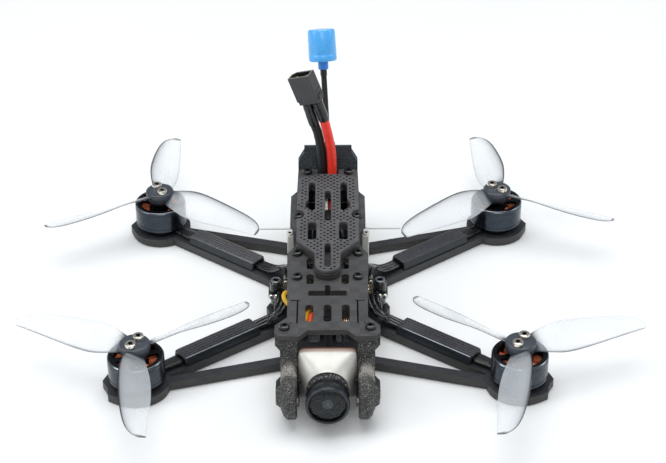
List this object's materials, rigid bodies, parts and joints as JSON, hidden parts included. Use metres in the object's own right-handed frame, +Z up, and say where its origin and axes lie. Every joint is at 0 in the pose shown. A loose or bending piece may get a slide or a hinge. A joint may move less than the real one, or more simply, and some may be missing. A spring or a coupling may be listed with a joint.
{
  "type": "fpv racing drone",
  "caption": "Small racing drone with a braced carbon plate frame, outrunner motors, translucent propellers, tilting nose camera, upright battery leads and capped antenna.",
  "frame": {"origin": "on the ground under the middle of the machine, propellers included", "axes": "the nose and its camera point along -Y, the machine's own left is +X, +Z is up"},
  "size_m": [0.2118, 0.1868, 0.0772],
  "materials": {
    "carbon_plate": "woven carbon plate, satin",
    "grip_rubber": "matte rubber with small dimples",
    "printed_tpu": "flexible printed plastic, speckled",
    "circuit_board": "black solder mask",
    "cast_aluminium": "cast, satin",
    "anodised_housing": "anodised, smooth",
    "anodised_gunmetal": "anodised, satin",
    "screw_steel": "polished",
    "copper_winding": "enamelled copper",
    "smoked_polycarbonate": "translucent, glossy",
    "cover_plastic": "moulded, satin",
    "wire_sleeve": "smooth sleeve",
    "blue_abs": "glossy",
    "coax_jacket": "smooth",
    "antenna_element": "matte",
    "red_silicone": "silicone",
    "black_silicone": "silicone",
    "connector_nylon": "moulded nylon",
    "gold_contact": "gold plated",
    "lens_barrel_black": "black anodised",
    "coated_glass": "coated"
  },
  "bodies": {
    "airframe": {"antenna_cap": "blue_abs", "antenna_tube": "coax_jacket", "battery_connector": "connector_nylon", "battery_lead_black": "black_silicone", "battery_lead_red": "red_silicone", "battery_pad": "grip_rubber", "camera_mount_left": "printed_tpu", "camera_mount_right": "printed_tpu", "connector_pin_negative": "gold_contact", "connector_pin_positive": "gold_contact", "flight_controller": "circuit_board", "front_top_plate": "carbon_plate", "main_frame": "carbon_plate", "motor_base_fl": "anodised_gunmetal", "motor_base_fr": "anodised_gunmetal", "motor_base_rl": "anodised_gunmetal", "motor_base_rr": "anodised_gunmetal", "motor_wires_fl": "wire_sleeve", "motor_wires_fr": "wire_sleeve", "motor_wires_rl": "wire_sleeve", "motor_wires_rr": "wire_sleeve", "rear_top_plate": "carbon_plate", "receiver_antenna": "antenna_element", "standoff_mid_left": "anodised_gunmetal", "standoff_mid_right": "anodised_gunmetal", "standoff_rear_left": "anodised_gunmetal", "standoff_rear_right": "anodised_gunmetal", "standoff_tail_left": "anodised_gunmetal", "standoff_tail_right": "anodised_gunmetal", "stator_fl": "copper_winding", "stator_fr": "copper_winding", "stator_rl": "copper_winding", "stator_rr": "copper_winding", "tail_mount": "printed_tpu", "video_transmitter": "cast_aluminium", "wire_cover_fl": "cover_plastic", "wire_cover_fr": "cover_plastic", "wire_cover_rl": "cover_plastic", "wire_cover_rr": "cover_plastic"},
    "rotor_fr": {"bell_fr": "anodised_gunmetal", "propeller_fr": "smoked_polycarbonate", "prop_screw_a_fr": "screw_steel", "prop_screw_b_fr": "screw_steel"},
    "rotor_fl": {"bell_fl": "anodised_gunmetal", "propeller_fl": "smoked_polycarbonate", "prop_screw_a_fl": "screw_steel", "prop_screw_b_fl": "screw_steel"},
    "rotor_rr": {"bell_rr": "anodised_gunmetal", "propeller_rr": "smoked_polycarbonate", "prop_screw_a_rr": "screw_steel", "prop_screw_b_rr": "screw_steel"},
    "rotor_rl": {"bell_rl": "anodised_gunmetal", "propeller_rl": "smoked_polycarbonate", "prop_screw_a_rl": "screw_steel", "prop_screw_b_rl": "screw_steel"},
    "camera": {"camera_housing": "anodised_housing", "lens_barrel": "lens_barrel_black", "lens_glass": "coated_glass", "camera_screw_left": "screw_steel", "camera_screw_right": "screw_steel"}
  },
  "joints": [
    {"name": "rotor_fr_spin", "type": "hinge", "parent": "airframe", "child": "rotor_fr", "pos_m": [-0.06359, -0.04861, 0.009], "axis": [0, 0, 1], "continuous": true},
    {"name": "rotor_fl_spin", "type": "hinge", "parent": "airframe", "child": "rotor_fl", "pos_m": [0.06241, -0.04861, 0.009], "axis": [0, 0, 1], "continuous": true},
    {"name": "rotor_rr_spin", "type": "hinge", "parent": "airframe", "child": "rotor_rr", "pos_m": [-0.06359, 0.04839, 0.009], "axis": [0, 0, 1], "continuous": true},
    {"name": "rotor_rl_spin", "type": "hinge", "parent": "airframe", "child": "rotor_rl", "pos_m": [0.06241, 0.04839, 0.009], "axis": [0, 0, 1], "continuous": true},
    {"name": "camera_tilt", "type": "hinge", "parent": "airframe", "child": "camera", "pos_m": [-0.00059, -0.06111, 0.0121], "axis": [1, 0, 0], "range_deg": [-37, 3]}
  ]
}
